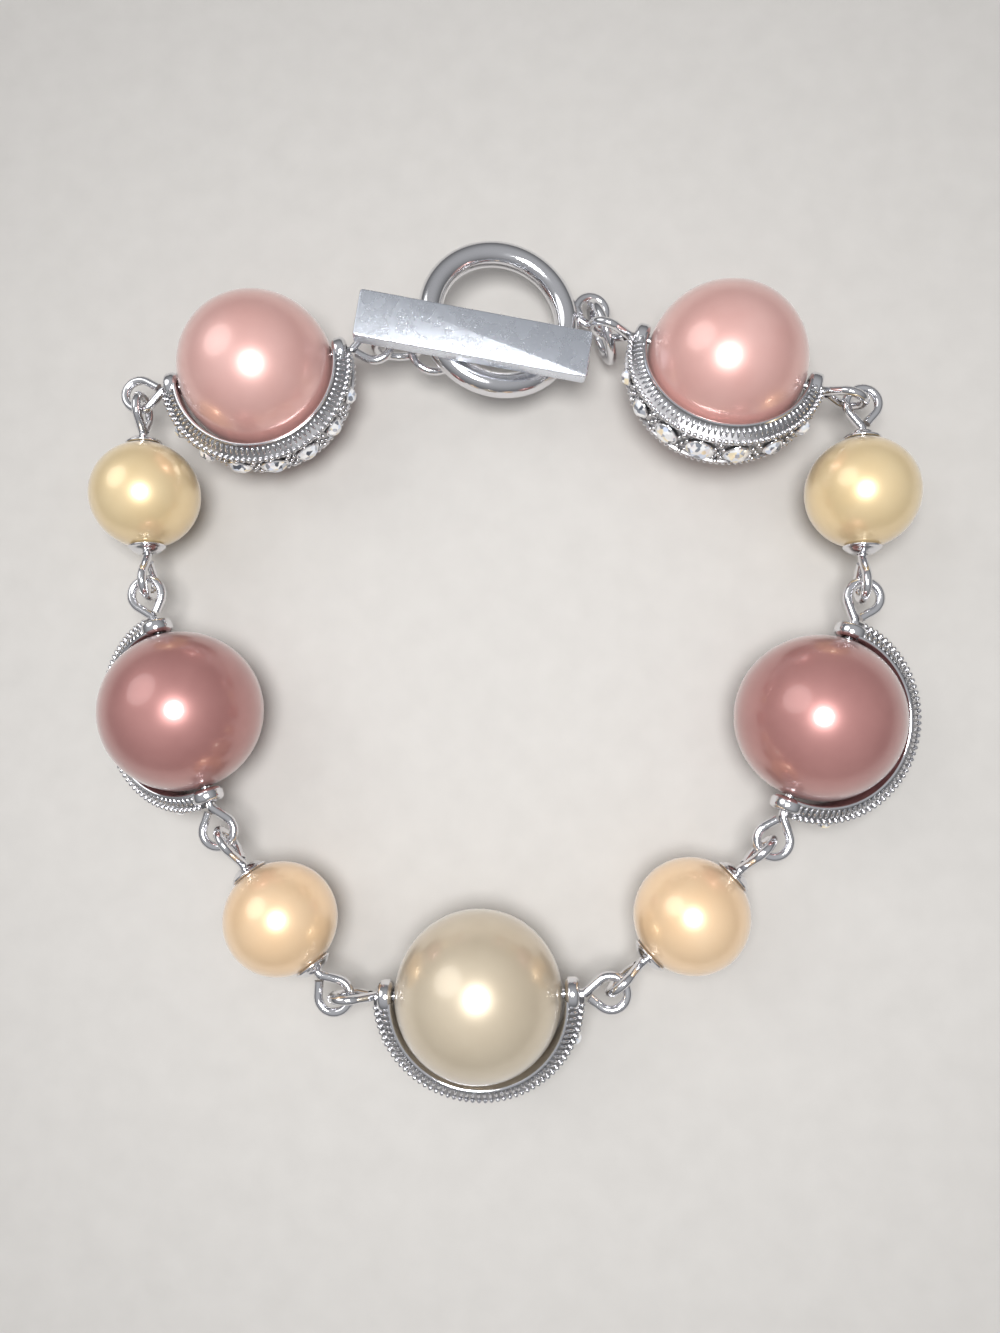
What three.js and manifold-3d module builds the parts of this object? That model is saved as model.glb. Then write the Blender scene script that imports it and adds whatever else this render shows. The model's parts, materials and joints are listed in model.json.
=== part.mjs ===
// A bracelet of nine pearls, closed by a toggle and lying on a table. Millimetres, +Z up.
// Five large pearls carry a jewelled half hoop each; four small ones sit between them.
import * as THREE from "three";
import { mergeVertices } from "three/addons/utils/BufferGeometryUtils.js";
import Module from "manifold-3d";

// Pearls
const largePearl = 14.2;
const smallPearl = 9.8;
const pearlSides = 16;
const pearlBands = 11;

// Eye pins: a wire through each pearl with an open loop at both ends
const pinWire = 0.8;
const pinClearance = 0.25;
const loopWidth = 3.6;
const loopLength = 4.0;
const loopCutGap = 0.3;
// How far a small pearl's pin hangs below the large pearls' pins
const pinDrop = 0.4;

// Bead caps on the small pearls
const capRim = 3.5;
const capWall = 0.35;
const capGap = 0.3;
const capSides = 12;

// Half hoops round the large pearls
const hoopGap = 0.4;
const hoopRimDepth = 0.45;
const hoopShoulder = 0.95;
const hoopWidthMiddle = 5.2;
const hoopWidthEnd = 2.7;
const hoopRibs = 18;
const hoopRibHeight = 0.14;
const tabDiameter = 2.8;
const tabThickness = 1.25;
const tabGap = 0.2;
const tabSides = 12;
const crystalSizes = [1.3, 1.7, 2.1, 2.3, 2.1, 1.7, 1.3];
const crystalPitch = 21;
const crystalStand = 0.35;
const crystalSides = 8;
// Widths of a crystal's foot and table, as shares of its girdle
const crystalFoot = 0.8;
const crystalTable = 0.55;
const grainSize = 0.5;

// Toggle clasp
const ringOuter = 15.2;
const ringWire = 2.3;
const ringTilt = 15;
const ringTurn = 9;
const ringLoopOuter = 3.8;
const ringLoopWire = 0.9;
const jumpOuter = 6.2;
const jumpWire = 0.9;
// Where on the jump ring its two neighbours sit, as angles, and how low it hangs in the first
const jumpTop = 112;
const jumpFoot = -22;
const jumpTurn = 20;
const jumpDrop = 0.1;
const barLength = 20.9;
const barWidth = 4.4;
const barThickness = 1.4;
const barBevel = 0.15;
// How the bar is turned within the ring's plane, and how far its left end dips towards that plane
const barTurn = -19;
const barDip = 6;
const barGap = 0.6;
const barAcross = -2.75;
const shankOuter = 3.3;
const shankWire = 0.85;
const shankLean = 28;
const linkOuter = 4.9;
const linkWire = 0.75;
const linkSlack = 0.2;
// The links pass below the ring's wire, this far to the near side of its middle
const linkAcross = -1.75;
// The outer two links clear that wire by this much, seen from it at these angles below the level
const linkClear = 0.15;
const firstLinkBelow = 42;
const lastLinkBelow = 14;
// Corners of a thin wire's section and of its rings, and the same for the toggle's ring
const wireSides = 6;
const wireSteps = 14;
const jumpSteps = 16;
const ringSides = 8;
const ringSteps = 23;

// The way round the wrist, from the bottom pearl out along both arms to the clasp.
// heading: direction of the pearl's pin in degrees, pointing onwards along its arm,
// before both arms are swung alike until the clasp fits between their ends.
// near and far: the roll of the pin's two loops, 0 lying flat and 90 standing upright.
// hoop: the side of its pin that the half hoop is on, and dip: how far it hangs down.
const leftArm = [
  { name: "lower_left", size: "small", heading: 126.6, near: 0, far: 90 },
  { name: "left", size: "large", heading: 108.8, near: 0, far: 0, hoop: 1, dip: 32 },
  { name: "upper_left", size: "small", heading: 93.9, near: 90, far: 90 },
  { name: "top_left", size: "large", heading: 10.6, near: 0, far: 0, hoop: -1, dip: 5 },
];
const rightArm = [
  { name: "lower_right", size: "small", heading: 42.8, near: 90, far: 90 },
  { name: "right", size: "large", heading: 68.4, near: 0, far: 0, hoop: -1, dip: 22 },
  { name: "upper_right", size: "small", heading: 88, near: 90, far: 0 },
  { name: "top_right", size: "large", heading: 162, near: 90, far: 90, hoop: 1, dip: -9 },
];
const bottomPearl = { name: "bottom", size: "large", heading: 1.6, near: 90, far: 0, hoop: -1, dip: 18 };

// Sizes that follow from the ones above
const wireRadius = pinWire / 2;
const boreRadius = wireRadius + pinClearance;
const loopRadius = (loopWidth - pinWire) / 2;
const largeRadius = largePearl / 2;
const smallRadius = smallPearl / 2;
const largeNeck = largeRadius + hoopGap + tabThickness + tabGap;
const smallNeck = smallRadius + capGap + capWall + capGap;
const neck = { large: largeNeck, small: smallNeck };
const hole = {
  large: largeNeck + loopLength - wireRadius - loopRadius,
  small: smallNeck + loopLength - wireRadius - loopRadius,
};
const pinHeight = { large: largeRadius, small: largeRadius - pinDrop };
const hookStep = Math.sqrt(loopRadius ** 2 - pinDrop ** 2);
const shankHoleAt = -(shankOuter / 2 - shankWire / 2);

const radians = THREE.MathUtils.degToRad;
const wasm = await Module();
wasm.setup();

const silver = new THREE.MeshStandardMaterial({ color: 0xd9dadd, roughness: 0.16, metalness: 1 });
const pearlColors = {
  top_left: 0xd9a29a,
  top_right: 0xd9a29a,
  left: 0xb5746c,
  right: 0xb5746c,
  bottom: 0xc4b295,
  upper_left: 0xdcc08c,
  upper_right: 0xdcc08c,
  lower_left: 0xe8c594,
  lower_right: 0xe8c594,
};

// The solid inside a closed mesh.
function solid(geometry) {
  const bare = geometry.index ? geometry.toNonIndexed() : geometry.clone();
  for (const name of Object.keys(bare.attributes)) {
    if (name !== "position") bare.deleteAttribute(name);
  }
  const merged = mergeVertices(bare, 1e-4);
  const mesh = new wasm.Mesh({
    numProp: 3,
    vertProperties: merged.attributes.position.array,
    triVerts: new Uint32Array(merged.index.array),
  });
  return new wasm.Manifold(mesh);
}

// The mesh round a solid.
function geometryOf(body) {
  const mesh = body.getMesh();
  const count = mesh.numVert;
  const positions = new Float32Array(count * 3);
  for (let i = 0; i < count; i++) {
    positions.set(mesh.vertProperties.subarray(i * mesh.numProp, i * mesh.numProp + 3), i * 3);
  }
  const geometry = new THREE.BufferGeometry();
  geometry.setAttribute("position", new THREE.BufferAttribute(positions, 3));
  geometry.setIndex(new THREE.BufferAttribute(mesh.triVerts, 1));
  return geometry;
}

function joined(geometries) {
  return geometries.map(solid).reduce((whole, piece) => whole.add(piece));
}

// A skin over rings of points with as many points each, closed by a flat cap at both ends.
function loft(rings) {
  const count = rings[0].length;
  const points = rings.flat();
  const faces = [];
  for (let i = 0; i + 1 < rings.length; i++) {
    for (let j = 0; j < count; j++) {
      const a = i * count + j;
      const b = i * count + ((j + 1) % count);
      faces.push(a, b, b + count, a, b + count, a + count);
    }
  }
  const last = (rings.length - 1) * count;
  for (let j = 1; j + 1 < count; j++) {
    faces.push(0, j + 1, j);
    faces.push(last, last + j, last + j + 1);
  }
  const geometry = new THREE.BufferGeometry().setFromPoints(points);
  geometry.setIndex(faces);
  return geometry;
}

// A round wire bent along a line of points.
function wireAlong(points, radius) {
  const tangents = points.map((point, i) => {
    const before = points[Math.max(i - 1, 0)];
    const after = points[Math.min(i + 1, points.length - 1)];
    return after.clone().sub(before).normalize();
  });
  const side = new THREE.Vector3(0, 0, 1);
  if (Math.abs(tangents[0].z) > 0.9) side.set(0, 1, 0);
  side.addScaledVector(tangents[0], -side.dot(tangents[0])).normalize();
  const rings = points.map((point, i) => {
    if (i > 0) {
      const turn = new THREE.Quaternion().setFromUnitVectors(tangents[i - 1], tangents[i]);
      side.applyQuaternion(turn);
    }
    const other = tangents[i].clone().cross(side);
    const ring = [];
    for (let j = 0; j < wireSides; j++) {
      const angle = ((j + 0.5) / wireSides) * 2 * Math.PI;
      ring.push(
        point
          .clone()
          .addScaledVector(side, radius * Math.cos(angle))
          .addScaledVector(other, radius * Math.sin(angle)),
      );
    }
    return ring;
  });
  return loft(rings);
}

// A loop's centre line from the neck round to the cut end, for a pin lying along +X.
function loopLine(neckAt, holeAt, roll) {
  const reach = holeAt - neckAt;
  const open = Math.acos(loopRadius / reach);
  const steps = 11;
  const flat = [new THREE.Vector2(neckAt, 0)];
  for (let i = 0; i <= steps; i++) {
    const angle = Math.PI - open - (i / steps) * 2 * (Math.PI - open);
    flat.push(new THREE.Vector2(holeAt + loopRadius * Math.cos(angle), loopRadius * Math.sin(angle)));
  }
  const lastBend = flat[flat.length - 1];
  const side = Math.sqrt(reach ** 2 - loopRadius ** 2);
  const spare = (pinWire + loopCutGap) / Math.sin(2 * (Math.PI / 2 - open));
  const share = Math.max(0.05, 1 - spare / side);
  flat.push(lastBend.clone().lerp(flat[0], share));
  const turn = new THREE.Quaternion().setFromAxisAngle(new THREE.Vector3(1, 0, 0), radians(roll));
  return flat.map((p) => new THREE.Vector3(p.x, p.y, 0).applyQuaternion(turn));
}

// A pin along X with both its loops: far at +X and near at -X.
function eyePin(row) {
  const far = loopLine(neck[row.size], hole[row.size], row.far);
  const near = loopLine(neck[row.size], hole[row.size], row.near);
  const mirrored = near.map((p) => new THREE.Vector3(-p.x, -p.y, p.z)).reverse();
  return wireAlong([...mirrored, ...far], wireRadius);
}

// A drilled ball whose facets touch the true round, so that one of them lies on the table.
function pearl(radius) {
  const halfBand = Math.asin(boreRadius / radius);
  const bandAngle = (Math.PI - 2 * halfBand) / pearlBands;
  const cornerRadius = radius / Math.cos(Math.PI / pearlSides) / Math.cos(bandAngle / 2);
  const profile = [];
  for (let i = 0; i <= pearlBands; i++) {
    const angle = -Math.PI / 2 + halfBand + i * bandAngle;
    profile.push(new THREE.Vector2(cornerRadius * Math.cos(angle), cornerRadius * Math.sin(angle)));
  }
  profile[0].x = boreRadius;
  profile[pearlBands].x = boreRadius;
  profile.push(profile[0].clone());
  const geometry = new THREE.LatheGeometry(profile, pearlSides);
  return geometry.rotateY(Math.PI / pearlSides).rotateZ(-Math.PI / 2);
}

// A shallow cup over the pearl's end, open for the pin, facing along +X.
function beadCap() {
  const inner = smallRadius + capGap;
  const outer = inner + capWall;
  const rimAngle = Math.asin(capRim / 2 / outer);
  const steps = 2;
  const profile = [];
  for (let i = 0; i <= steps; i++) {
    const angle = rimAngle + (i / steps) * (Math.asin(boreRadius / inner) - rimAngle);
    profile.push(new THREE.Vector2(inner * Math.sin(angle), inner * Math.cos(angle)));
  }
  for (let i = 0; i <= steps; i++) {
    const angle = Math.asin(boreRadius / outer) + (i / steps) * (rimAngle - Math.asin(boreRadius / outer));
    profile.push(new THREE.Vector2(outer * Math.sin(angle), outer * Math.cos(angle)));
  }
  profile.push(profile[0].clone());
  return new THREE.LatheGeometry(profile.reverse(), capSides).rotateZ(-Math.PI / 2);
}

// One round cut crystal with a table and eight crown facets, its girdle at z = 0.
function crystal(diameter) {
  const radius = diameter / 2;
  const profile = [
    new THREE.Vector2(0, -hoopRimDepth),
    new THREE.Vector2(radius * crystalFoot, -hoopRimDepth),
    new THREE.Vector2(radius, 0),
    new THREE.Vector2(radius * crystalTable, crystalStand),
    new THREE.Vector2(0, crystalStand),
  ];
  return new THREE.LatheGeometry(profile, crystalSides).rotateX(Math.PI / 2);
}

// The half hoop with its two end tabs, lying in the XY plane on the -Y side of a pin along X.
function halfHoop() {
  const inner = largeRadius + hoopGap;
  const corner = inner + hoopRimDepth;
  const face = corner + hoopShoulder;
  const width = (angle) => hoopWidthEnd + (hoopWidthMiddle - hoopWidthEnd) * Math.sin(angle) ** 0.8;
  const sections = 2 * hoopRibs;
  const rings = [];
  for (let i = 0; i <= sections; i++) {
    const angle = (i / sections) * Math.PI;
    const half = width(angle) / 2;
    const rib = i % 2 === 1 ? hoopRibHeight : 0;
    const outline = [
      [inner, -half + hoopRimDepth / 2],
      [corner, -half - rib],
      [face + rib / 2, -half + hoopShoulder],
      [face + rib / 2, half - hoopShoulder],
      [corner, half + rib],
      [inner, half - hoopRimDepth / 2],
    ];
    rings.push(
      outline.map(([r, z]) => new THREE.Vector3(r * Math.cos(angle), -r * Math.sin(angle), z)),
    );
  }
  const pieces = [loft(rings)];
  const tabAt = inner + tabThickness / 2;
  for (const end of [-1, 1]) {
    const tab = new THREE.CylinderGeometry(tabDiameter / 2, tabDiameter / 2, tabThickness, tabSides);
    pieces.push(tab.rotateZ(Math.PI / 2).translate(end * tabAt, 0, 0));
  }
  const middle = (crystalSizes.length - 1) / 2;
  const placed = (geometry, degrees, radius, z) =>
    geometry
      .rotateX(Math.PI / 2)
      .translate(0, -radius, z)
      .rotateZ(radians(degrees));
  crystalSizes.forEach((size, i) => {
    pieces.push(placed(crystal(size), (i - middle) * crystalPitch, face, 0));
    if (i === 0) return;
    const between = (i - middle - 0.5) * crystalPitch;
    const side = width(Math.PI / 2 + radians(between)) / 2 - hoopShoulder - grainSize / 2;
    for (const z of [-side, side]) {
      pieces.push(placed(new THREE.OctahedronGeometry(grainSize / 2), between, face, z));
    }
  });
  const bore = new THREE.CylinderGeometry(boreRadius, boreRadius, 4 * largeRadius, tabSides);
  return geometryOf(joined(pieces).subtract(solid(bore.rotateZ(Math.PI / 2))));
}

// A closed ring of round wire in the XY plane.
function wireRing(outer, wire, sides, steps) {
  return new THREE.TorusGeometry((outer - wire) / 2, wire / 2, sides, steps);
}

// The toggle's ring in the XY plane, with its small loop on the +X side.
function toggleRing() {
  const loop = wireRing(ringLoopOuter, ringLoopWire, wireSides, wireSteps).translate(ringLoopAt, 0, 0);
  return geometryOf(joined([wireRing(ringOuter, ringWire, ringSides, ringSteps), loop]));
}

// The toggle's bar, its underside at z = 0, with a shank loop below its middle.
function toggleBar() {
  const outline = new THREE.Shape();
  const halfLength = barLength / 2 - barBevel;
  const halfWidth = barWidth / 2 - barBevel;
  outline.moveTo(-halfLength, -halfWidth);
  outline.lineTo(halfLength, -halfWidth);
  outline.lineTo(halfLength, halfWidth);
  outline.lineTo(-halfLength, halfWidth);
  const plate = new THREE.ExtrudeGeometry(outline, {
    depth: barThickness - 2 * barBevel,
    bevelSize: barBevel,
    bevelThickness: barBevel,
    bevelSegments: 1,
  }).translate(0, 0, barBevel);
  const shank = wireRing(shankOuter, shankWire, wireSides, wireSteps)
    .rotateY(Math.PI / 2)
    .translate(0, 0, shankHoleAt)
    .rotateX(radians(shankLean));
  return geometryOf(joined([plate, shank]));
}

const bracelet = new THREE.Group();
bracelet.name = "pearl_bracelet";

function addMesh(parent, name, geometry, material) {
  const mesh = new THREE.Mesh(geometry, material);
  mesh.name = name;
  parent.add(mesh);
  return mesh;
}

const along = (degrees) => new THREE.Vector3(Math.cos(radians(degrees)), Math.sin(radians(degrees)), 0);

// One pearl on its pin, with its caps or its half hoop, in a group whose X runs along the pin.
function addPearl(row, centre, heading) {
  const group = new THREE.Group();
  group.position.set(centre.x, centre.y, pinHeight[row.size]);
  group.rotation.z = radians(heading);
  bracelet.add(group);
  const radius = row.size === "large" ? largeRadius : smallRadius;
  const color = pearlColors[row.name];
  const skin = new THREE.MeshStandardMaterial({ color, roughness: 0.28, metalness: 0 });
  addMesh(group, "pearl_" + row.name, pearl(radius), skin);
  addMesh(group, "eye_pin_" + row.name, eyePin(row), silver);
  if (row.size === "small") {
    addMesh(group, "bead_cap_" + row.name + "_far", beadCap(), silver);
    addMesh(group, "bead_cap_" + row.name + "_near", beadCap(), silver).rotation.z = Math.PI;
    return;
  }
  const hoop = addMesh(group, "crescent_" + row.name, halfHoop(), silver);
  hoop.rotation.z = row.hoop < 0 ? 0 : Math.PI;
  hoop.rotation.x = radians(row.dip) * (row.hoop < 0 ? 1 : -1);
}

// The clasp's own space starts at the last right loop's hole and runs towards -X.
const clasp = new THREE.Group();
bracelet.add(clasp);

// The jump ring stands through the last right loop and comes down through the ring's own loop.
const jumpRadius = (jumpOuter - jumpWire) / 2;
const jumpLevel = along(90 + jumpTurn);
const onJump = (degrees) =>
  new THREE.Vector3(0, 0, jumpRadius * Math.sin(radians(degrees))).addScaledVector(
    jumpLevel,
    jumpRadius * Math.cos(radians(degrees)),
  );
const jumpCentre = new THREE.Vector3(0, 0, pinHeight.large - jumpDrop).sub(onJump(jumpTop));
const ringHook = jumpCentre.clone().add(onJump(jumpFoot));
const jump = addMesh(clasp, "jump_ring", wireRing(jumpOuter, jumpWire, wireSides, jumpSteps), silver);
jump.position.copy(jumpCentre);
jump.rotation.order = "ZXY";
jump.rotation.z = radians(90 + jumpTurn);
jump.rotation.x = Math.PI / 2;

// The toggle's ring hangs from the jump ring's foot and leans up towards the left.
const ringRadius = (ringOuter - ringWire) / 2;
const ringLoopAt = ringOuter / 2 + (ringLoopOuter - ringLoopWire) / 2;
const ringSet = new THREE.Group();
ringSet.rotation.order = "ZYX";
ringSet.rotation.z = radians(ringTurn);
ringSet.rotation.y = radians(ringTilt);
const ringLoopPlace = new THREE.Vector3(ringLoopAt, 0, 0).applyEuler(ringSet.rotation);
ringSet.position.copy(ringHook).sub(ringLoopPlace);
ringSet.updateMatrix();
clasp.add(ringSet);
addMesh(ringSet, "toggle_ring", toggleRing(), silver);

// Three small links run below the ring's left wire: one inside it, one across, one outside.
const linkRadius = (linkOuter - linkWire) / 2;
const linkPitch = 2 * linkRadius - linkWire - linkSlack;
const crossing = new THREE.Vector3(-Math.sqrt(ringRadius ** 2 - linkAcross ** 2), linkAcross, 0);
crossing.applyMatrix4(ringSet.matrix);
const clearance = linkOuter / 2 + ringWire / 2 + linkClear;
const fromCrossing = (side, below) =>
  new THREE.Vector3(side * Math.cos(radians(below)), 0, -Math.sin(radians(below)))
    .multiplyScalar(clearance)
    .add(crossing);
const firstLink = fromCrossing(1, firstLinkBelow);
const lastLink = fromCrossing(-1, lastLinkBelow);
const middleLink = firstLink.clone().lerp(lastLink, 0.5);
const linkSag = Math.sqrt(Math.max(0, linkPitch ** 2 - firstLink.distanceTo(middleLink) ** 2));
const sagWay = lastLink.clone().sub(firstLink).cross(new THREE.Vector3(0, 1, 0)).normalize();
middleLink.addScaledVector(sagWay, linkSag);

// The last link's wire goes down through the middle of the last left loop.
const lastLinkDrop = pinHeight.large - lastLink.z;
const claspEnd = lastLink.clone().setZ(0);
claspEnd.x -= Math.sqrt(linkRadius ** 2 - lastLinkDrop ** 2);

// The bar lies across the ring, slid along until the first link's wire runs through its shank.
const bar = addMesh(ringSet, "toggle_bar", toggleBar(), silver);
bar.rotation.set(0, -radians(barDip), radians(barTurn));
bar.position.set(0, barAcross, ringWire / 2 + barGap);
const shankHole = new THREE.Vector3(0, 0, shankHoleAt)
  .applyAxisAngle(new THREE.Vector3(1, 0, 0), radians(shankLean))
  .applyEuler(bar.rotation);
const slide = new THREE.Vector3(1, 0, 0).applyEuler(ringSet.rotation);
const reach = shankHole.clone().add(bar.position).applyMatrix4(ringSet.matrix).sub(firstLink);
const abreast = reach.dot(slide);
bar.position.x = Math.sqrt(Math.max(0, abreast ** 2 - reach.lengthSq() + linkRadius ** 2)) - abreast;
const shankPlace = shankHole.clone().add(bar.position).applyMatrix4(ringSet.matrix);

function addLink(name, centre, from, to, upright) {
  const link = addMesh(clasp, name, wireRing(linkOuter, linkWire, wireSides, wireSteps), silver);
  const lengthwise = to.clone().sub(from).normalize();
  const level = new THREE.Vector3(0, 0, 1).cross(lengthwise).normalize();
  const rise = lengthwise.clone().cross(level);
  const basis = new THREE.Matrix4();
  if (upright) basis.makeBasis(lengthwise, rise, level.negate());
  else basis.makeBasis(lengthwise, level, rise);
  link.quaternion.setFromRotationMatrix(basis);
  link.position.copy(centre);
}

addLink("bar_link_1", firstLink, shankPlace, middleLink, true);
addLink("bar_link_2", middleLink, firstLink, lastLink, false);
addLink("bar_link_3", lastLink, middleLink, claspEnd.clone().setZ(pinHeight.large), true);

// One arm's places, swung from its headings: at each joint the upright loop's end stands in
// the middle of the flat one.
function layArm(arm, start, swing) {
  let { point, onward, roll } = start;
  const places = arm.map((row) => {
    const heading = row.heading + swing;
    const direction = along(heading);
    const step = roll === 90 ? onward : direction;
    const centre = point.clone().addScaledVector(step, hookStep).addScaledVector(direction, hole[row.size]);
    point = centre.clone().addScaledVector(direction, hole[row.size]);
    onward = direction;
    roll = row.far;
    return { row, centre, heading };
  });
  return { places, end: point };
}

function startAt(side, roll) {
  const onward = along(bottomPearl.heading).multiplyScalar(side);
  return { point: onward.clone().multiplyScalar(hole.large), onward, roll };
}

const layLeft = (swing) => layArm(leftArm, startAt(-1, bottomPearl.near), swing);
const layRight = (swing) => layArm(rightArm, startAt(1, bottomPearl.far), -swing);

// Both arms swing apart or together until the clasp just fits between their ends.
const opening = (swing) => layLeft(swing).end.distanceTo(layRight(swing).end);
const swingTries = 8;
const swingStep = 0.01;
let swing = 0;
for (let i = 0; i < swingTries; i++) {
  const slope = (opening(swing + swingStep) - opening(swing)) / swingStep;
  swing += (claspEnd.length() - opening(swing)) / slope;
}
const left = layLeft(swing);
const right = layRight(swing);
addPearl(bottomPearl, new THREE.Vector3(0, 0, 0), bottomPearl.heading);
for (const { row, centre, heading } of [...left.places, ...right.places]) addPearl(row, centre, heading);

// The clasp turns about its right end until its left end meets the left arm.
const facing = left.end.clone().sub(right.end);
clasp.position.copy(right.end);
clasp.rotation.z = Math.atan2(facing.y, facing.x) - Math.atan2(claspEnd.y, claspEnd.x);

// The whole stands on z = 0 with the middle of its box over the origin.
bracelet.updateMatrixWorld(true);
const box = new THREE.Box3().setFromObject(bracelet, true);
const centre = box.getCenter(new THREE.Vector3());
bracelet.position.set(-centre.x, -centre.y, -box.min.z);

export default bracelet;
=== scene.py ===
import bmesh
import bpy
import json
import math
from mathutils import Matrix, Vector


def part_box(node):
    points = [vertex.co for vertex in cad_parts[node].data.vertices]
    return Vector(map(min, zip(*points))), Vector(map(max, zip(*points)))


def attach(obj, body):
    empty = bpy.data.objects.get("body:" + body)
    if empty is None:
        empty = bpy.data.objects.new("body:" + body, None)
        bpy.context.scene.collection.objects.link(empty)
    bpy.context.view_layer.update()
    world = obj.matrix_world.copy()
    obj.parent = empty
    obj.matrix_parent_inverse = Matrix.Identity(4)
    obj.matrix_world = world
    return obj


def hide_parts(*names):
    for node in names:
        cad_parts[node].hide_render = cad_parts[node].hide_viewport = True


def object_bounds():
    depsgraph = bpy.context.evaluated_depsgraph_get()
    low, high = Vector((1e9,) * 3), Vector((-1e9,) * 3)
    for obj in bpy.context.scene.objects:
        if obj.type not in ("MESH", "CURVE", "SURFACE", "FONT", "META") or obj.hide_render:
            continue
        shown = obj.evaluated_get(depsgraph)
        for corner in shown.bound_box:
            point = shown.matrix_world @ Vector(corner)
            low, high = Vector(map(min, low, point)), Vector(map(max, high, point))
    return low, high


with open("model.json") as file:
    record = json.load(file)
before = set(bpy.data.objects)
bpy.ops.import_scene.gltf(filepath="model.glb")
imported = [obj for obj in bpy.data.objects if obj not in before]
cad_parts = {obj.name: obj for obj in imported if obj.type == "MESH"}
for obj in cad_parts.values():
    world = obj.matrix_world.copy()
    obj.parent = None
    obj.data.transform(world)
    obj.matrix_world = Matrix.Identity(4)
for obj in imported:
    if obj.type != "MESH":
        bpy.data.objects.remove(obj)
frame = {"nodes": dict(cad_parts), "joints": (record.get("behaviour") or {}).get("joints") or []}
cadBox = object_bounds()
mm = 0.001
turn = 2 * math.pi

# which pearl is which, and how its pin's two loops are rolled: 0 lies flat, 90 stands upright
pearls = {
    "bottom": dict(size="large", near=90, far=0, finish="champagne"),
    "left": dict(size="large", near=0, far=0, finish="mauve"),
    "right": dict(size="large", near=0, far=0, finish="mauve"),
    "top_left": dict(size="large", near=0, far=0, finish="pink"),
    "top_right": dict(size="large", near=90, far=90, finish="pink"),
    "lower_left": dict(size="small", near=0, far=90, finish="peach"),
    "lower_right": dict(size="small", near=90, far=90, finish="peach"),
    "upper_left": dict(size="small", near=90, far=90, finish="cream"),
    "upper_right": dict(size="small", near=90, far=0, finish="cream"),
}


def pinPlace(name):
    # the matrix that sets a piece modelled in mm round a pin along X where that pearl is
    joint = next((j for j in frame["joints"] if j["name"] == name + "_hoop_swing"), None)
    if joint:
        centre, along = Vector(joint["pos_m"]), Vector(joint["axis"])
    else:
        ends = []
        for end in ("far", "near"):
            low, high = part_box("bead_cap_" + name + "_" + end)
            ends.append((low + high) / 2)
        centre, along = (ends[0] + ends[1]) / 2, (ends[0] - ends[1]).normalized()
    side = Vector((0, 0, 1)).cross(along)
    axes = Matrix((along, side, Vector((0, 0, 1)))).transposed().to_4x4()
    return Matrix.Translation(centre) @ axes @ Matrix.Scale(mm, 4)


places = {name: pinPlace(name) for name in pearls}
largeNames = [name for name in pearls if pearls[name]["size"] == "large"]

# camera: above the wrist opening, tipped a little, with the photo's short lens; mm, degrees, pixels
camera = dict(
    height=90.8, right=6.28, back=-12.49, pitch=-6.01, yaw=3.60, focalPixels=962, tallPixels=1333,
    sensor=36, nearest=5,
)
middle = sum((places[name].translation for name in largeNames), Vector()) / len(largeNames)
cameraData = bpy.data.cameras.new("camera")
cameraData.sensor_width = camera["sensor"]
cameraData.lens = camera["focalPixels"] / camera["tallPixels"] * cameraData.sensor_width
cameraData.clip_start = camera["nearest"] * mm
cameraObject = bpy.data.objects.new("camera", cameraData)
bpy.context.scene.collection.objects.link(cameraObject)
pitchTurn = Matrix.Rotation(math.radians(camera["pitch"]), 3, "X")
tilt = pitchTurn @ Matrix.Rotation(math.radians(camera["yaw"]), 3, "Y")
# in a photo Y points down and Z away from the lens
flip = Matrix.Diagonal((1, -1, -1))
cameraTurn = (flip @ tilt @ flip).transposed()
cameraObject.matrix_world = Matrix.Translation(
    (middle.x + camera["right"] * mm, middle.y + camera["back"] * mm, camera["height"] * mm)
) @ cameraTurn.to_4x4()
bpy.context.scene.camera = cameraObject
print("camera set")


def linear(hexColor):
    # a colour as it is seen, turned into the linear light that the shader takes
    values = []
    for i in (0, 2, 4):
        c = int(hexColor[i:i + 2], 16) / 255
        values.append(c / 12.92 if c <= 0.04045 else ((c + 0.055) / 1.055) ** 2.4)
    return (*values, 1)


def addNode(tree, kind, inputs=(), **settings):
    # one node with its settings; an input is a value or another node's socket
    node = tree.nodes.new(kind)
    for key, value in settings.items():
        setattr(node, key, value)
    for key, value in dict(inputs).items():
        if isinstance(value, bpy.types.NodeSocket):
            tree.links.new(value, node.inputs[key])
        else:
            node.inputs[key].default_value = value
    return node


def startMaterial(name, **values):
    material = bpy.data.materials.new(name)
    material.use_nodes = True
    tree = material.node_tree
    shader = tree.nodes["Principled BSDF"]
    for key, value in values.items():
        shader.inputs[key.replace("_", " ")].default_value = value
    spot = addNode(tree, "ShaderNodeTexCoord").outputs["Object"]
    return material, tree, shader, spot


def perMm(size):
    # texture scale that makes one cell as wide as size, in mm
    return 1 / (size * mm)


# lacquered glass pearl: many thin coats of pearl essence, a soft satin glow under a clear gloss;
# widths of the clouding and of the coat's ripples, and the ripples' height, in mm
lacquer = dict(cloud=5, ripple=0.5, rippleHeight=0.05, rippleShare=0.03)
pearlColors = {
    "pink": ("e9beb7", "d8a199"),
    "mauve": ("c08b86", "9f6b68"),
    "champagne": ("dacdb6", "c2b299"),
    "cream": ("efdbb2", "e2c591"),
    "peach": ("f9ddb9", "f0c99b"),
}


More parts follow.
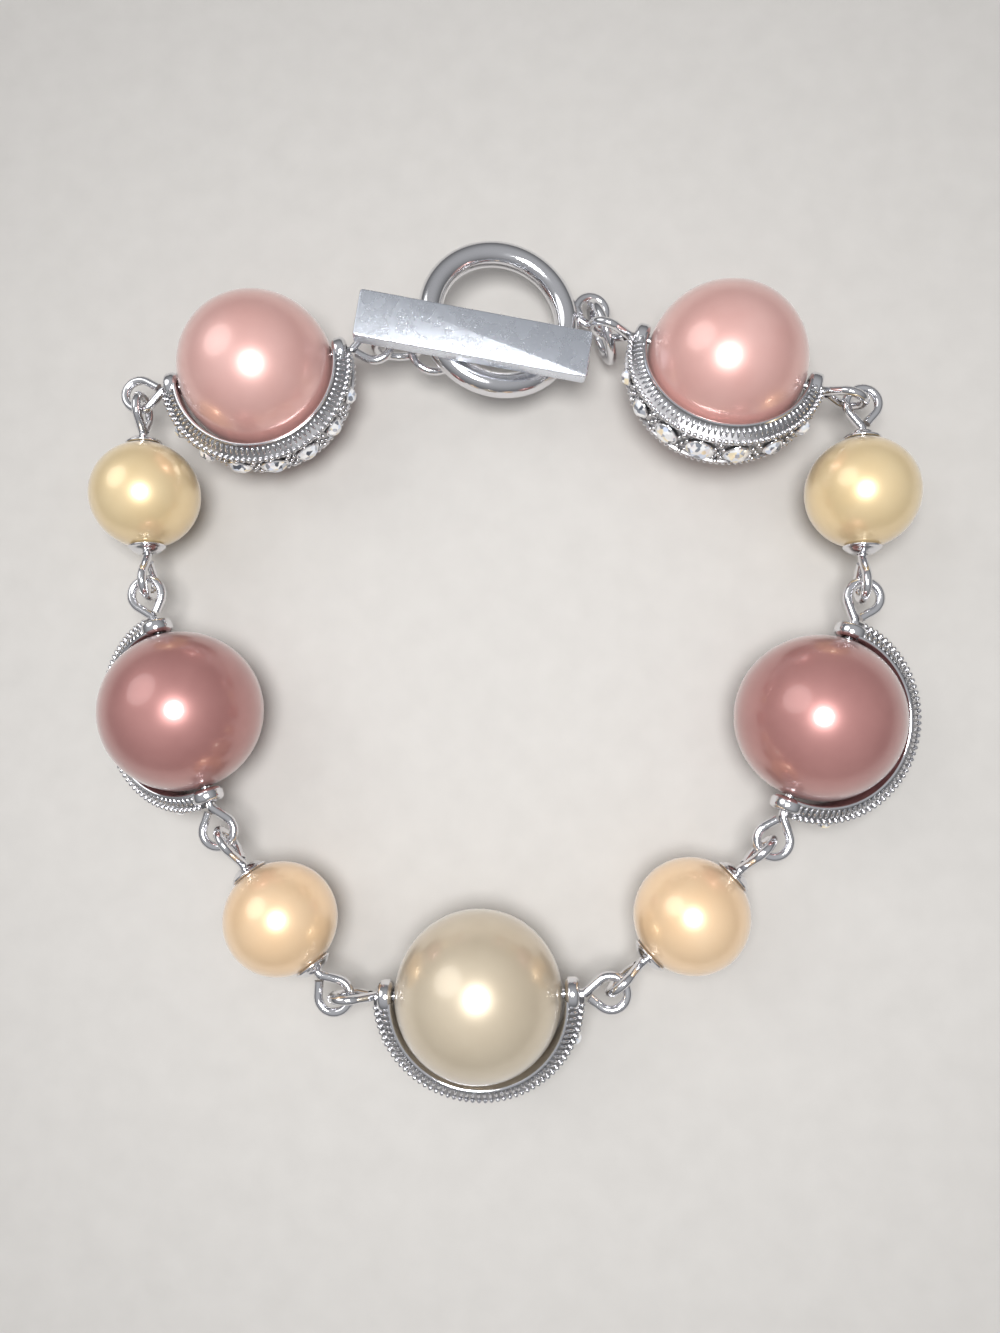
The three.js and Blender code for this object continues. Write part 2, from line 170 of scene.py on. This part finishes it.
def pearlMaterial(name, light, deep):
    material, tree, shader, spot = startMaterial(
        name + " pearl lacquer",
        Metallic=0.4, Roughness=0.32, Coat_Weight=1.0, Coat_Roughness=0.1,
        Sheen_Weight=0.1, Sheen_Roughness=0.4,
    )
    cloud = addNode(
        tree, "ShaderNodeTexNoise", {"Vector": spot, "Scale": perMm(lacquer["cloud"]), "Detail": 3},
    )
    mix = addNode(tree, "ShaderNodeMix", {"Factor": cloud.outputs["Fac"]}, data_type="RGBA")
    mix.inputs["A"].default_value = linear(light)
    mix.inputs["B"].default_value = linear(deep)
    tree.links.new(mix.outputs["Result"], shader.inputs["Base Color"])
    ripple = addNode(
        tree, "ShaderNodeTexNoise",
        {"Vector": spot, "Scale": perMm(lacquer["ripple"]), "Detail": 4},
    )
    bump = addNode(
        tree, "ShaderNodeBump",
        {"Height": ripple.outputs["Fac"], "Strength": lacquer["rippleShare"],
         "Distance": lacquer["rippleHeight"] * mm},
    )
    tree.links.new(bump.outputs["Normal"], shader.inputs["Normal"])
    return material


pearlMaterials = {name: pearlMaterial(name, *pair) for name, pair in pearlColors.items()}


# the part of the noise that the haze uses; a scratch's length for its width, and its depth in mm
wear = dict(hazeLow=0.35, hazeHigh=0.7, scratchLength=9, scratchDepth=0.04)


def silverMaterial(name, color, roughness, scuff, dirt, patch=1.6, scratch=1.2, uneven=0.3):
    # plate with hazy, duller patches and fine rubbing marks; patch and scratch are widths in mm
    material, tree, shader, spot = startMaterial(name, Metallic=1)
    haze = addNode(tree, "ShaderNodeTexNoise", {"Vector": spot, "Scale": perMm(patch), "Detail": 5})
    gloss = addNode(
        tree, "ShaderNodeMapRange",
        {"Value": haze.outputs["Fac"], "From Min": wear["hazeLow"], "From Max": wear["hazeHigh"],
         "To Min": roughness * (1 - uneven), "To Max": roughness * (1 + 2 * uneven)},
    )
    tree.links.new(gloss.outputs["Result"], shader.inputs["Roughness"])
    mix = addNode(tree, "ShaderNodeMix", {"Factor": haze.outputs["Fac"]}, data_type="RGBA")
    mix.inputs["A"].default_value = linear(color)
    mix.inputs["B"].default_value = tuple(c * (1 - dirt) for c in linear(color)[:3]) + (1,)
    tree.links.new(mix.outputs["Result"], shader.inputs["Base Color"])
    squeeze = (1, wear["scratchLength"], wear["scratchLength"])
    stretch = addNode(tree, "ShaderNodeMapping", {"Vector": spot, "Scale": squeeze})
    lines = addNode(
        tree, "ShaderNodeTexNoise",
        {"Vector": stretch.outputs["Vector"], "Scale": perMm(scratch), "Detail": 6},
    )
    bump = addNode(
        tree, "ShaderNodeBump",
        {"Height": lines.outputs["Fac"], "Strength": scuff, "Distance": wear["scratchDepth"] * mm},
    )
    tree.links.new(bump.outputs["Normal"], shader.inputs["Normal"])
    return material


# rhodium-look plate over brass: bright, cool and nearly mirror smooth
plate = silverMaterial("bright silver plate", "e9e9ec", 0.09, 0.12, 0.05)
# the same plate, darker, laid over the band's shoulders, floor and face: painted shade
shade = silverMaterial("silver plate darkened as painted shade", "bab9bb", 0.28, 0.2, 0.3)
# the bar's flat face: polished, then rubbed by wear into fine scuffs
rubbed = silverMaterial("rubbed silver plate", "eef3fc", 0.27, 0.5, 0.06, 1.2, 0.3, 0.08)

# machine-cut crystal with vacuum foil behind it, under sharp glassy crown facets; its sparkle is
# painted into the colour as flecks, white, pale and dark: painted glints and painted dark
# reflections; a fleck is drawn wide enough, in mm, to show
glintWidth = 0.4
crystal, crystalTree, crystalShader, crystalSpot = startMaterial(
    "foil-backed cut crystal with painted glints", Metallic=0.35, Roughness=0.12, Coat_Weight=1.0, Coat_Roughness=0.01,
)
glintFlecks = (
    "ffffff", "8b9099", "f3f8ff", "ffffff", "fff0cf",
    "5c616b", "ffffff", "dfeaff", "b9bdc6", "ffffff",
)
# the painted glints: cells of the colour, bright and dark, stand in for light caught and missed by
# the cut
glintCells = addNode(
    crystalTree, "ShaderNodeTexVoronoi", {"Vector": crystalSpot, "Scale": perMm(glintWidth)},
)
glintValue = addNode(crystalTree, "ShaderNodeSeparateColor", {"Color": glintCells.outputs["Color"]})
glintRamp = addNode(crystalTree, "ShaderNodeValToRGB", {"Fac": glintValue.outputs["Red"]})
glintRamp.color_ramp.interpolation = "CONSTANT"
glintRamp.color_ramp.elements[0].color = linear(glintFlecks[0])
glintRamp.color_ramp.elements[1].position = 1 / len(glintFlecks)
glintRamp.color_ramp.elements[1].color = linear(glintFlecks[1])
for i, color in enumerate(glintFlecks[2:], 2):
    glintRamp.color_ramp.elements.new(i / len(glintFlecks)).color = linear(color)
crystalTree.links.new(glintRamp.outputs["Color"], crystalShader.inputs["Base Color"])
print("materials made")


def merge(target, part, index=0, place=None):
    # adds a closed part to a piece, with the number of its material
    bmesh.ops.recalc_face_normals(part, faces=part.faces)
    for face in part.faces:
        face.material_index = index
    if place is not None:
        bmesh.ops.transform(part, matrix=place, verts=part.verts)
    mesh = bpy.data.meshes.new("part")
    part.to_mesh(mesh)
    part.free()
    target.from_mesh(mesh)
    bpy.data.meshes.remove(mesh)


def finishPiece(name, bm, place, materials, body, replaced, sharp=35, cut=None):
    # edges past the sharp angle stay crisp, and so do all those of the material numbered cut
    bmesh.ops.transform(bm, matrix=place, verts=bm.verts)
    for edge in bm.edges:
        faceted = any(face.material_index == cut for face in edge.link_faces)
        edge.smooth = not faceted and edge.calc_face_angle(0) < math.radians(sharp)
    for face in bm.faces:
        face.smooth = True
    mesh = bpy.data.meshes.new(name)
    bm.to_mesh(mesh)
    bm.free()
    for material in materials:
        mesh.materials.append(material)
    piece = bpy.data.objects.new(name, mesh)
    bpy.context.scene.collection.objects.link(piece)
    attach(piece, body)
    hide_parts(replaced)


def turned(profile, steps):
    # a closed profile of (along, radius) points, spun round the X axis and joined at its seam
    weld = 1e-4
    bm = bmesh.new()
    verts = [bm.verts.new((x, r, 0)) for x, r in profile]
    edges = [bm.edges.new(pair) for pair in zip(verts, verts[1:] + verts[:1])]
    bmesh.ops.spin(
        bm, geom=verts + edges, cent=(0, 0, 0), axis=(1, 0, 0), angle=turn, steps=steps,
        use_merge=True,
    )
    bmesh.ops.remove_doubles(bm, verts=bm.verts, dist=weld)
    return bm


def wireRing(outer, wire, steps=48, sides=14, split=0):
    # a ring of round wire in the XY plane; split, in degrees, leaves the saw cut of a jump ring
    bm = bmesh.new()
    place = Matrix.Translation(((outer - wire) / 2, 0, 0)) @ Matrix.Rotation(math.pi / 2, 4, "X")
    ring = bmesh.ops.create_circle(
        bm, cap_ends=split > 0, radius=wire / 2, segments=sides, matrix=place,
    )
    geom = list(bm.faces) + list(bm.edges) + ring["verts"]
    angle = turn - math.radians(split)
    bmesh.ops.spin(
        bm, geom=geom, cent=(0, 0, 0), axis=(0, 0, 1), angle=angle, steps=steps,
        use_merge=split == 0, use_duplicate=False,
    )
    return bm


def edgesOf(geom):
    return [g for g in geom if isinstance(g, bmesh.types.BMEdge)]


# Pearls: drilled right through, with the drill hole's edge softened by the lacquer
pearlSizes = dict(large=14.2, small=9.8, drill=1.3, lip=0.12, steps=72, rows=40)


def pearlShape(size):
    radius, drill, lip = pearlSizes[size] / 2, pearlSizes["drill"] / 2, pearlSizes["lip"]
    start = math.asin((drill + lip) / radius)
    count = pearlSizes["rows"]
    profile = [(-math.cos(start) * radius + lip, drill)]
    for i in range(count + 1):
        angle = start + (math.pi - 2 * start) * i / count
        profile.append((-radius * math.cos(angle), radius * math.sin(angle)))
    profile.append((math.cos(start) * radius - lip, drill))
    return turned(profile, pearlSizes["steps"])


for name, row in pearls.items():
    bm = bmesh.new()
    merge(bm, pearlShape(row["size"]))
    finish = row["finish"]
    finishPiece("pearl_bead_" + name, bm, places[name], [pearlMaterials[finish]],
                "chain", "pearl_" + name)
print("pearls made")

# Eye pins: one wire through the pearl, curled at both ends into a loop whose tip almost meets the
# stem; the neck is where the loop begins, measured from the pearl's middle
pin = dict(
    wire=0.8, sides=14, loopWidth=3.6, loopLength=4.0, cut=0.06, leastTip=0.05, bend=0.6,
    bendSteps=4, loopSteps=30, largeNeck=8.95, smallNeck=5.85,
)


def drawWire(bm, ring, vector):
    # draws the open end of the wire out in a straight line
    drawn = bmesh.ops.extrude_edge_only(bm, edges=ring)["geom"]
    verts = [g for g in drawn if isinstance(g, bmesh.types.BMVert)]
    bmesh.ops.translate(bm, verts=verts, vec=vector)
    return [e for e in edgesOf(drawn) if e.verts[0] in verts and e.verts[1] in verts]


def bendWire(bm, ring, centre, axis, angle, steps):
    # bends the open end of the wire round a point
    verts = list({v for e in ring for v in e.verts})
    bent = bmesh.ops.spin(bm, geom=ring + verts, cent=centre, axis=axis, angle=angle, steps=steps)
    return edgesOf(bent["geom_last"])


def curl(bm, ring, neck, roll):
    # the end of the pin beyond its neck: a short kink, a straight, and the round of the loop
    around = (pin["loopWidth"] - pin["wire"]) / 2
    hole = neck + pin["loopLength"] - pin["wire"] / 2 - around
    rise = math.asin(around / (hole - neck))
    side = math.sqrt((hole - neck) ** 2 - around ** 2)
    trim = pin["bend"] * math.tan(rise / 2)
    tip = side - (pin["wire"] / 2 * (1 + math.cos(2 * rise)) + pin["cut"]) / math.sin(2 * rise)
    up, down = roll @ Vector((0, 0, 1)), roll @ Vector((0, 0, -1))
    ring = drawWire(bm, ring, roll @ Vector((neck - trim, 0, 0)))
    kink, middle = roll @ Vector((neck - trim, pin["bend"], 0)), roll @ Vector((hole, 0, 0))
    outward = roll @ Vector((math.cos(rise), math.sin(rise), 0))
    back = roll @ Vector((-math.cos(rise), math.sin(rise), 0))
    ring = bendWire(bm, ring, kink, up, rise, pin["bendSteps"])
    ring = drawWire(bm, ring, (side - trim) * outward)
    ring = bendWire(bm, ring, middle, down, math.pi + 2 * rise, pin["loopSteps"])
    ring = drawWire(bm, ring, max(pin["leastTip"], tip) * back)
    bmesh.ops.holes_fill(bm, edges=ring, sides=0)


def pinShape(row):
    bm = bmesh.new()
    upright = Matrix.Rotation(math.pi / 2, 4, "Y")
    bmesh.ops.create_circle(bm, radius=pin["wire"] / 2, segments=pin["sides"], matrix=upright)
    ring = list(bm.edges)
    neck = pin[row["size"] + "Neck"]
    farRoll = Matrix.Rotation(math.radians(row["far"]), 3, "X")
    nearRoll = Matrix.Rotation(math.radians(row["near"]), 3, "X")
    curl(bm, ring, neck, farRoll)
    curl(bm, ring, neck, Matrix.Rotation(math.pi, 3, "Z") @ nearRoll)
    return bm


for name, row in pearls.items():
    bm = bmesh.new()
    merge(bm, pinShape(row))
    finishPiece("looped_pin_" + name, bm, places[name], [plate],
                "chain", "eye_pin_" + name, sharp=60)
print("pins made")

# Bead caps: small domed dishes that hug the pearl, one at each end of a small pearl
cap = dict(rim=3.3, gap=0.07, dome=0.56, edge=0.13, hole=0.45, fullness=2.2, rows=8, steps=40)


def capShape():
    # the underside follows the pearl, the top is a rounder dome, and a small roll joins their rims
    under = pearlSizes["small"] / 2 + cap["gap"]
    reach = cap["rim"] / 2 - cap["edge"]
    rimAt = math.sqrt(under ** 2 - reach ** 2)
    top = under + cap["dome"]
    rows = cap["rows"]
    profile = []
    for i in range(rows + 1):
        r = cap["hole"] + (reach - cap["hole"]) * i / rows
        profile.append((math.sqrt(under ** 2 - r ** 2), r))
    for i in range(1, rows):
        angle = math.pi * i / rows
        spot = rimAt + cap["edge"] * (1 - math.cos(angle))
        profile.append((spot, reach + cap["edge"] * math.sin(angle)))
    rise = top - rimAt - 2 * cap["edge"]
    for i in range(rows + 1):
        share = 1 - i / rows
        r = cap["hole"] + (reach - cap["hole"]) * share
        profile.append((top - rise * share ** cap["fullness"], r))
    return turned(profile, cap["steps"])


for name, row in pearls.items():
    if row["size"] == "large":
        continue
    for end, angle in (("far", 0), ("near", math.pi)):
        bm = bmesh.new()
        merge(bm, capShape(), 0, Matrix.Rotation(angle, 4, "Z"))
        node = "bead_cap_" + name + "_" + end
        finishPiece("dish_" + node, bm, places[name], [plate], "chain", node)
print("bead caps made")

# Half hoops: a crescent band with beaded shoulders, seven crystals and grains between them;
# inner, rim, floor and face are distances from the pin, pitch, reach and lean are degrees
hoop = dict(
    inner=7.3, rim=7.62, floor=8.72, face=8.9, widthMiddle=5.2, widthEnd=2.7, slope=0.9, steps=96,
    tab=2.8, tabThick=1.25, tabHole=0.65,
    stones=(1.4, 1.75, 2.15, 2.4, 2.15, 1.75, 1.4), pitch=21, stand=0.5, seat=0.08, collet=0.22,
    beadPitch=0.57, bead=0.23, rib=0.16, reach=86, lean=57, grain=0.2,
)


def hoopPlace(name):
    # X runs along the pin and -Y out to the middle of the hoop, as the CAD hoop lies
    spots = [v.co for v in frame["nodes"]["crescent_" + name].data.vertices]
    along = places[name].to_3x3().col[0].normalized()
    out = sum(spots, Vector()) / len(spots) - places[name].translation
    out = (out - along * out.dot(along)).normalized()
    axes = Matrix((along, -out, along.cross(-out))).transposed().to_4x4()
    return Matrix.Translation(places[name].translation) @ axes @ Matrix.Scale(mm, 4)


def halfWidth(angle):
    # the crescent's half width: widest in the middle, narrow at both ends
    wide = math.sin(min(max(angle, 0), math.pi)) ** 0.8
    return (hoop["widthEnd"] + (hoop["widthMiddle"] - hoop["widthEnd"]) * wide) / 2


def bandShape():
    # a point of the section: its distance from the pin, and how far in from the band's edge it is
    inner, rim, slope = hoop["inner"], hoop["rim"], hoop["slope"]
    floor, face = hoop["floor"], hoop["face"]
    section = [
        (inner, 0.2), (inner + 0.03, 0.08), (inner + 0.1, 0.02), (inner + 0.18, 0),
        (rim - 0.05, 0.03), (rim, 0.1), (rim + 0.05, 0.2), (rim + 0.5, 0.46),
        (face - 0.14, slope - 0.12), (face, slope - 0.02), (face, slope + 0.1),
        (floor, slope + 0.18),
    ]
    # spun with both edges far out, then drawn in to the width that the band has at each place
    far = 10
    outline = [(r, far - inset) for r, inset in section]
    outline += [(r, inset - far) for r, inset in reversed(section)]
    bm = bmesh.new()
    verts = [bm.verts.new((r, 0, z)) for r, z in outline]
    bm.faces.new(verts)
    bmesh.ops.spin(
        bm, geom=list(bm.faces) + list(bm.edges) + verts, cent=(0, 0, 0), axis=(0, 0, -1),
        angle=math.pi, steps=hoop["steps"],
    )
    for vert in bm.verts:
        half = halfWidth(math.atan2(-vert.co.y, vert.co.x))
        vert.co.z = math.copysign(half - (far - abs(vert.co.z)), vert.co.z)
    return bm


def onBand(degrees, radius, z):
    # a place on the hoop, degrees from its middle, whose own Z points outwards
    around = Matrix.Rotation(math.radians(degrees), 4, "Z")
    return around @ Matrix.Translation((0, -radius, z)) @ Matrix.Rotation(math.pi / 2, 4, "X")


def ballShape(radius, stretch=(1, 1, 1), around=10, down=7):
    bm = bmesh.new()
    bmesh.ops.create_uvsphere(bm, u_segments=around, v_segments=down, radius=radius)
    bmesh.ops.scale(bm, vec=stretch, verts=bm.verts)
    return bm


def crystalCrown(diameter):
    # table, star and kite facets and a girdle, as the hull of their corners; a row is its number of
    # corners, its radius and height as shares of the crystal's, and its turn as a share of a facet
    bm = bmesh.new()
    radius, stand = diameter / 2, hoop["stand"]
    rows = ((16, 1, 0, 0), (16, 1, -0.1, 0), (8, 0.78, 0.62, 0.5), (8, 0.5, 1, 0))
    for count, share, height, shift in rows:
        level = Matrix.Translation((0, 0, height * stand))
        spot = level @ Matrix.Rotation(turn * shift / 8, 4, "Z")
        bmesh.ops.create_circle(bm, radius=radius * share, segments=count, matrix=spot)
    bmesh.ops.convex_hull(bm, input=bm.verts)
    bmesh.ops.delete(bm, geom=[e for e in bm.edges if not e.link_faces], context="EDGES")
    return bm


def hoopShape():
    # materials: 0 bright plate, 1 plate darkened as painted shade, 2 crystal
    bm = bmesh.new()
    merge(bm, bandShape(), 1)
    # the inner wall and rim keep the bright plate; the rest of the band keeps the darker copy,
    # painted shade in its recesses
    for face in bm.faces:
        spot = face.calc_center_median()
        if math.hypot(spot.x, spot.y) < hoop["rim"]:
            face.material_index = 0
    tabAt = hoop["inner"] + hoop["tabThick"] / 2
    tab, thick = hoop["tab"] / 2, hoop["tabThick"] / 2
    profile = [
        (-thick, hoop["tabHole"]), (-thick, tab - 0.45), (-thick + 0.06, tab - 0.25),
        (-thick + 0.18, tab - 0.1), (-thick + 0.36, tab - 0.02),
    ]
    profile += [(-x, r) for x, r in reversed(profile)]
    for end in (-1, 1):
        merge(bm, turned(profile, 36), 0, Matrix.Translation((end * tabAt, 0, 0)))
    # the shoulders: ribs that end in beads
    count = round(math.pi * hoop["face"] / hoop["beadPitch"])
    for i in range(count + 1):
        degrees = -hoop["reach"] + 2 * hoop["reach"] * i / count
        half = halfWidth(math.radians(90 + degrees))
        for sign in (-1, 1):
            lean = Matrix.Rotation(sign * math.radians(-hoop["lean"]), 4, "X")
            rib = onBand(degrees, hoop["rim"] + 0.42, sign * (half - 0.4))
            merge(bm, ballShape(hoop["rib"], (1, 2.9, 1.1), 8, 6), 0, rib @ lean)
            bead = onBand(degrees, hoop["face"] - 0.13, sign * (half - hoop["slope"] + 0.16))
            merge(bm, ballShape(hoop["bead"], (0.95, 1.1, 1)), 0, bead @ lean)
    middleStone = (len(hoop["stones"]) - 1) / 2
    for i, size in enumerate(hoop["stones"]):
        degrees = (i - middleStone) * hoop["pitch"]
        seat = onBand(degrees, hoop["face"] + hoop["seat"], 0)
        merge(bm, crystalCrown(size), 2, seat)
        collet = wireRing(size + hoop["collet"], 0.2, steps=28, sides=8)
        merge(bm, collet, 0, seat @ Matrix.Translation((0, 0, -hoop["seat"])))
        half = halfWidth(math.radians(90 + degrees)) - hoop["slope"] - 0.2
        if half - size / 2 > 0.05:
            for sign in (-1, 1):
                beside = onBand(degrees, hoop["face"], sign * (size / 2 + 0.2))
                merge(bm, ballShape(hoop["grain"] * 0.8), 0, beside)
        if i == 0:
            continue
        # grains raised between this stone and the one before
        between = degrees - hoop["pitch"] / 2
        room = halfWidth(math.radians(90 + between)) - hoop["slope"] - 0.3
        for shift, share, radius in ((0, 1, 1.15), (0, 0, 1), (2.3, 0.5, 0.9), (-2.3, 0.5, 0.9)):
            for sign in (-1, 1) if share else (1,):
                spot = onBand(between + shift, hoop["face"] + 0.02, sign * share * room)
                merge(bm, ballShape(hoop["grain"] * radius), 0, spot)
    return bm


for name in largeNames:
    finishPiece("crystal_hoop_" + name, hoopShape(), hoopPlace(name), [plate, shade, crystal],
                name + "_hoop", "crescent_" + name, cut=2)
print("half hoops made")


# Clasp: ring with its soldered loop, bar on its shank, jump ring and small links; turn, dip, lean
# and the jump ring's saw cut are degrees, and a fillet is the half sizes of the solder's blob
clasp = dict(
    ringOuter=15.2, ringWire=2.3, loopOuter=3.8, loopWire=0.9, jumpOuter=6.2, jumpWire=0.9,
    barLength=20.9, barWidth=4.4, barThick=1.4, barTurn=-19, barDip=6, barCorner=0.3, barEdge=0.14,
    shankOuter=3.3, shankWire=0.85, shankLean=28, linkOuter=4.9, linkWire=0.75, sawCut=1.5,
    ringFillet=(0.55, 0.95, 0.5), barFillet=(0.75, 0.6, 0.3), filletSunk=0.05,
)


def corners(node):
    return [v.co / mm for v in frame["nodes"][node].data.vertices]


def ringAxes(node):
    # a ring-shaped CAD node's axes and centre in mm: Z across the ring, X to its farthest corner
    points = corners(node)
    low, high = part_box(node)
    centre = (low + high) / 2 / mm
    spread = Matrix(((0, 0, 0), (0, 0, 0), (0, 0, 0)))
    for p in points:
        d = p - centre
        spread += Matrix((d * d.x, d * d.y, d * d.z))
    # a ring's corners spread least across it: the inverse spread turns a start vector that way
    across = Vector((0.3, 0.5, 0.8))
    calm = spread.inverted()
    rounds = 40
    for _ in range(rounds):
        across = (calm @ across).normalized()
    if across.z < 0:
        across.negate()
    far = max(points, key=lambda p: (p - centre).length) - centre
    far = (far - across * far.dot(across)).normalized()
    return Matrix((far, across.cross(far), across)).transposed(), centre


def limits(node, axes):
    # lowest and highest corners of a CAD node, in mm, measured along the given axes
    points = [axes.transposed() @ p for p in corners(node)]
    return (Vector([pick(p[i] for p in points) for i in range(3)]) for pick in (min, max))


def placeAt(axes, spot):
    return Matrix.Scale(mm, 4) @ axes.to_4x4() @ Matrix.Translation(spot)


def solderFillet(spot, size):
    part = ballShape(1, size, 16, 10)
    bmesh.ops.translate(part, verts=part.verts, vec=spot)
    return part


ringTurn, _ = ringAxes("toggle_ring")
low, high = limits("toggle_ring", ringTurn)
ringSpot = Vector((low.x + clasp["ringOuter"] / 2, (low.y + high.y) / 2, (low.z + high.z) / 2))
bm = bmesh.new()
merge(bm, wireRing(clasp["ringOuter"], clasp["ringWire"], steps=96, sides=28))
loopAt = clasp["ringOuter"] / 2 + (clasp["loopOuter"] - clasp["loopWire"]) / 2
loop = wireRing(clasp["loopOuter"], clasp["loopWire"], steps=48, sides=16)
merge(bm, loop, 0, Matrix.Translation((loopAt, 0, 0)))
merge(bm, solderFillet((clasp["ringOuter"] / 2 + clasp["filletSunk"], 0, 0), clasp["ringFillet"]))
finishPiece("clasp_ring", bm, placeAt(ringTurn, ringSpot), [plate],
            "chain", "toggle_ring")

barTurn = ringTurn @ Matrix.Rotation(math.radians(-clasp["barDip"]), 3, "Y")
barTurn = barTurn @ Matrix.Rotation(math.radians(clasp["barTurn"]), 3, "Z")
low, high = limits("toggle_bar", barTurn)
barSpot = Vector(((low.x + high.x) / 2, (low.y + high.y) / 2, high.z - clasp["barThick"]))
bm = bmesh.new()
part = bmesh.new()
bmesh.ops.create_cube(part, size=1)
barSize = (clasp["barLength"], clasp["barWidth"], clasp["barThick"])
bmesh.ops.scale(part, vec=barSize, verts=part.verts)
# upright corners rounded more than the long edges, as a cast bar's are
upright = [e for e in part.edges if abs(e.verts[0].co.z - e.verts[1].co.z) > 0.1]
bmesh.ops.bevel(
    part, geom=upright, offset=clasp["barCorner"], affect="EDGES", segments=4, profile=0.5,
    material=-1,
)
rims = [e for e in part.edges if abs(e.verts[0].co.z - e.verts[1].co.z) < 0.1]
bmesh.ops.bevel(
    part, geom=rims, offset=clasp["barEdge"], affect="EDGES", segments=3, profile=0.5,
    material=-1,
)
merge(bm, part, 1, Matrix.Translation((0, 0, clasp["barThick"] / 2)))
hole = -(clasp["shankOuter"] - clasp["shankWire"]) / 2
lean = Matrix.Rotation(math.radians(clasp["shankLean"]), 4, "X")
stand = lean @ Matrix.Translation((0, 0, hole)) @ Matrix.Rotation(math.pi / 2, 4, "Y")
merge(bm, wireRing(clasp["shankOuter"], clasp["shankWire"], steps=48, sides=16), 0, stand)
merge(bm, solderFillet((0, 0, -clasp["filletSunk"]), clasp["barFillet"]))
finishPiece("clasp_bar", bm, placeAt(barTurn, barSpot), [plate, rubbed],
            "chain", "toggle_bar", sharp=50)

for node in ("jump_ring", "bar_link_1", "bar_link_2", "bar_link_3"):
    kind = "jump" if node == "jump_ring" else "link"
    axes, centre = ringAxes(node)
    bm = bmesh.new()
    outer, wire = clasp[kind + "Outer"], clasp[kind + "Wire"]
    merge(bm, wireRing(outer, wire, steps=56, sides=16, split=clasp["sawCut"]))
    place = Matrix.Scale(mm, 4) @ Matrix.Translation(centre) @ axes.to_4x4()
    finishPiece("wire_" + node, bm, place, [plate], "chain", node, sharp=60)
print("clasp made")

# Floor and light: a pale table and soft studio light, with one lamp beside the lens as in the
# photo; half and aim, the height that the lamps point at, in m; grain and drop in mm
table = dict(half=1.2, drop=0.02, grain=3, aim=0.005)
floorMaterial, floorTree, floorShader, floorSpot = startMaterial("matt paper", Roughness=0.9)
mottle = addNode(
    floorTree, "ShaderNodeTexNoise",
    {"Vector": floorSpot, "Scale": perMm(table["grain"]), "Detail": 4},
)
paper = addNode(floorTree, "ShaderNodeValToRGB", {"Fac": mottle.outputs["Fac"]})
paper.color_ramp.elements[0].color = linear("bfbcb8")
paper.color_ramp.elements[1].color = linear("c9c6c2")
floorTree.links.new(paper.outputs["Color"], floorShader.inputs["Base Color"])
bm = bmesh.new()
bmesh.ops.create_grid(bm, x_segments=1, y_segments=1, size=table["half"])
floorMesh = bpy.data.meshes.new("floor")
bm.to_mesh(floorMesh)
bm.free()
floorMesh.materials.append(floorMaterial)
floor = bpy.data.objects.new("floor", floorMesh)
floor.location.z = cadBox[0][2] - table["drop"] * mm
bpy.context.scene.collection.objects.link(floor)


def addLamp(name, spot, size, power):
    # a round soft lamp that points at the bracelet
    light = bpy.data.lights.new(name, "AREA")
    light.shape, light.size, light.energy = "DISK", size, power
    lamp = bpy.data.objects.new(name, light)
    lamp.location = spot
    away = Vector(spot) - Vector((0, 0, table["aim"]))
    lamp.rotation_euler = away.to_track_quat("Z", "Y").to_euler()
    bpy.context.scene.collection.objects.link(lamp)


addLamp("lens lamp", (0.004, -0.01, 0.16), 0.065, 0.25)
addLamp("left softbox", (-0.4, 0.25, 0.45), 0.45, 0.7)
world = bpy.data.worlds.new("studio")
world.use_nodes = True
# white studio walls, brightest overhead, so that round metal shows a soft change of light
wall = addNode(world.node_tree, "ShaderNodeTexCoord").outputs["Generated"]
wallHeight = addNode(world.node_tree, "ShaderNodeSeparateXYZ", {"Vector": wall}).outputs["Z"]
glow = addNode(
    world.node_tree, "ShaderNodeMapRange",
    {"Value": wallHeight, "From Min": 0, "From Max": 1, "To Min": 0.18, "To Max": 0.5},
    interpolation_type="SMOOTHSTEP",
)
background = world.node_tree.nodes["Background"]
background.inputs["Color"].default_value = linear("f4f5f8")
world.node_tree.links.new(glow.outputs["Result"], background.inputs["Strength"])
bpy.context.scene.world = world
bpy.context.scene.view_settings.view_transform = "Standard"
print("stage made")
